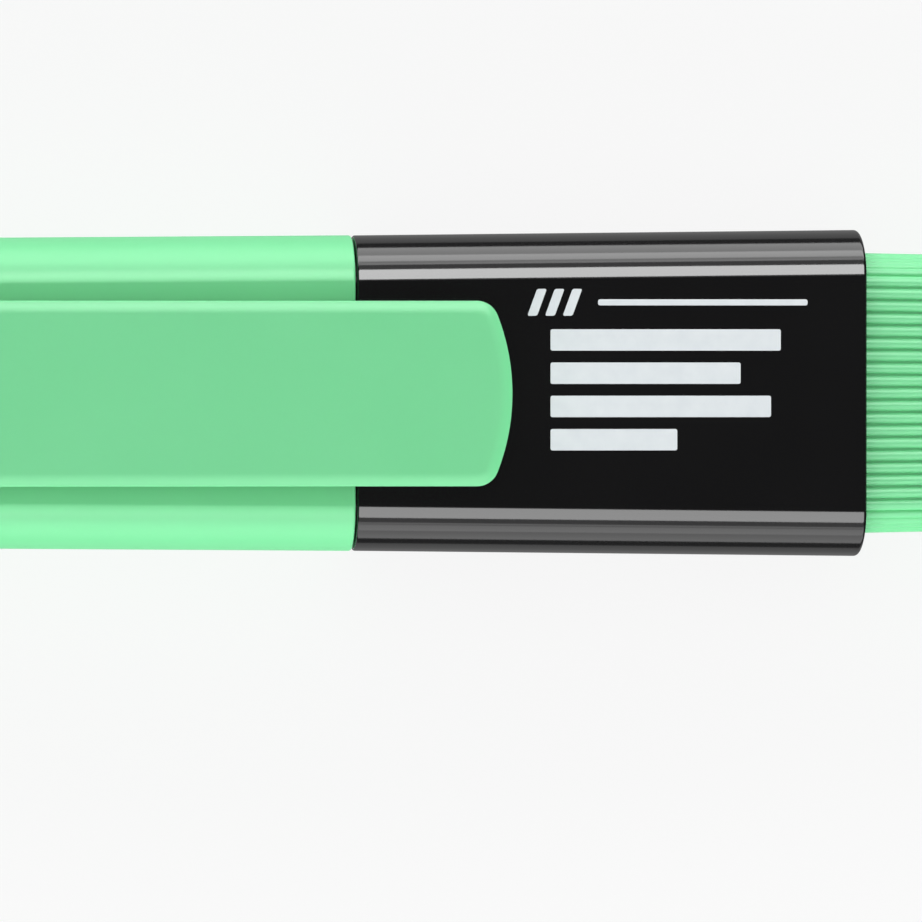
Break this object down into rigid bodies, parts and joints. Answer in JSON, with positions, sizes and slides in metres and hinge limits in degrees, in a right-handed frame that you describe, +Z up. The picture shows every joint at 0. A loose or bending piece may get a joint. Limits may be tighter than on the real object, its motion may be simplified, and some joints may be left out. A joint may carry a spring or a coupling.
{
  "type": "highlighter",
  "caption": "Flat-oval highlighter: chisel nib on an ink reservoir, black barrel, pull-off cap with a wide springy clip, and a lengthwise ribbed rear plug.",
  "frame": {"origin": "centre of the footprint on the resting face, with the pen lying on its flat, clip up, cap on", "axes": "+X along the pen from the cap's closed end to the rear plug's end, +Z up out of the flat that carries the clip"},
  "size_m": [0.117, 0.027, 0.0201],
  "materials": {
    "barrel_plastic": "polished black moulding",
    "mint_plastic": "satin mint polypropylene",
    "holder_plastic": "satin black polypropylene",
    "inner_cap_plastic": "natural milky polypropylene",
    "nib_felt": "bonded fibre, soaked with mint ink",
    "ink_fibre": "soft fibre rod, soaked with mint ink",
    "film_plastic": "thin clear film"
  },
  "bodies": {
    "barrel": {"barrel": "barrel_plastic", "front_section": "holder_plastic", "nib": "nib_felt", "reservoir_core": "ink_fibre", "reservoir_film": "film_plastic", "rear_plug": "mint_plastic"},
    "cap": {"cap_shell": "mint_plastic", "inner_cap": "inner_cap_plastic", "clip_root": "mint_plastic"},
    "clip": {"clip_blade": "mint_plastic"}
  },
  "joints": [
    {"name": "cap_pull", "type": "slide", "parent": "barrel", "child": "cap", "axis": [-1, 0, 0], "range_m": [0, 0.055]},
    {"name": "clip_flex", "type": "hinge", "parent": "cap", "child": "clip", "pos_m": [-0.04992, 0, 0.0201], "axis": [0, -1, 0], "range_deg": [0, 5], "stiffness_Nm_per_rad": 0.75}
  ]
}
